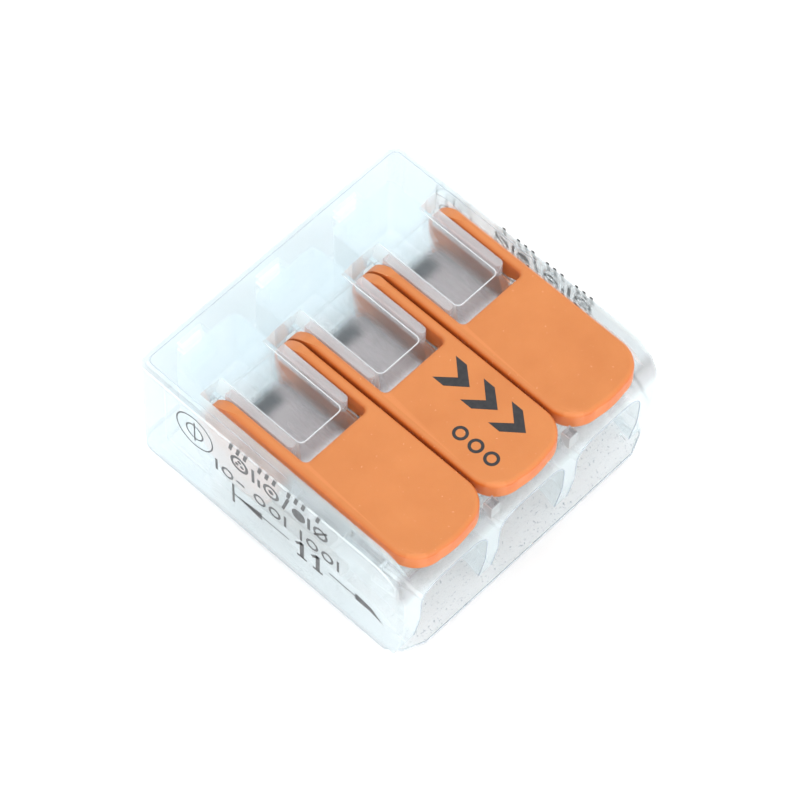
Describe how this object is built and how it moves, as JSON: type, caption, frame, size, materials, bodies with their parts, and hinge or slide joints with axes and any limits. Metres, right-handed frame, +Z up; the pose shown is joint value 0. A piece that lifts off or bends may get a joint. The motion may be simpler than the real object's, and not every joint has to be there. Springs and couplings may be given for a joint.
{
  "type": "lever wire connector",
  "caption": "Compact clear splicing connector: lift a lever, push a stripped wire into its funnel, fold the lever flat and the spring clamps the wire on a shared busbar",
  "frame": {"origin": "centre of the box at the base of the connector", "axes": "+X across the poles, -Y the wire-entry side under the lever tips, +Z up, levers on top"},
  "size_m": [0.0186, 0.0186, 0.0083],
  "materials": {
    "housing_shell": "clear moulded polycarbonate, glossy, faint blue-grey",
    "base_cover": "clear moulded polycarbonate, glossy, faint blue-grey",
    "busbar": "tin-plated copper, dull grey",
    "spring_steel": "cold-rolled spring steel",
    "lever": "moulded polyamide, satin, fine spark texture"
  },
  "bodies": {
    "connector_housing": {"housing_shell": "housing_shell", "base_cover": "base_cover", "busbar": "busbar", "clamp_spring_left": "spring_steel", "clamp_spring_middle": "spring_steel", "clamp_spring_right": "spring_steel"},
    "lever_left_body": {"lever_left": "lever"},
    "spring_leg_left_body": {"spring_leg_left": "spring_steel"},
    "lever_middle_body": {"lever_middle": "lever"},
    "spring_leg_middle_body": {"spring_leg_middle": "spring_steel"},
    "lever_right_body": {"lever_right": "lever"},
    "spring_leg_right_body": {"spring_leg_right": "spring_steel"}
  },
  "joints": [
    {"name": "lever_left_hinge", "type": "hinge", "parent": "connector_housing", "child": "lever_left_body", "pos_m": [-0.0056, 0.0023, 0.0051], "axis": [-1, 0, 0], "range_deg": [0, 90]},
    {"name": "spring_leg_left_flex", "type": "hinge", "parent": "connector_housing", "child": "spring_leg_left_body", "pos_m": [-0.0056, -0.0013, 0.0053], "axis": [1, 0, 0], "range_deg": [0, 28.5]},
    {"name": "lever_middle_hinge", "type": "hinge", "parent": "connector_housing", "child": "lever_middle_body", "pos_m": [0, 0.0023, 0.0051], "axis": [-1, 0, 0], "range_deg": [0, 90]},
    {"name": "spring_leg_middle_flex", "type": "hinge", "parent": "connector_housing", "child": "spring_leg_middle_body", "pos_m": [0, -0.0013, 0.0053], "axis": [1, 0, 0], "range_deg": [0, 28.5]},
    {"name": "lever_right_hinge", "type": "hinge", "parent": "connector_housing", "child": "lever_right_body", "pos_m": [0.0056, 0.0023, 0.0051], "axis": [-1, 0, 0], "range_deg": [0, 90]},
    {"name": "spring_leg_right_flex", "type": "hinge", "parent": "connector_housing", "child": "spring_leg_right_body", "pos_m": [0.0056, -0.0013, 0.0053], "axis": [1, 0, 0], "range_deg": [0, 28.5]}
  ],
  "couplings": [
    {"joint": "spring_leg_left_flex", "follows": "lever_left_hinge", "ratio": 0.3156},
    {"joint": "spring_leg_middle_flex", "follows": "lever_middle_hinge", "ratio": 0.3156},
    {"joint": "spring_leg_right_flex", "follows": "lever_right_hinge", "ratio": 0.3156}
  ]
}
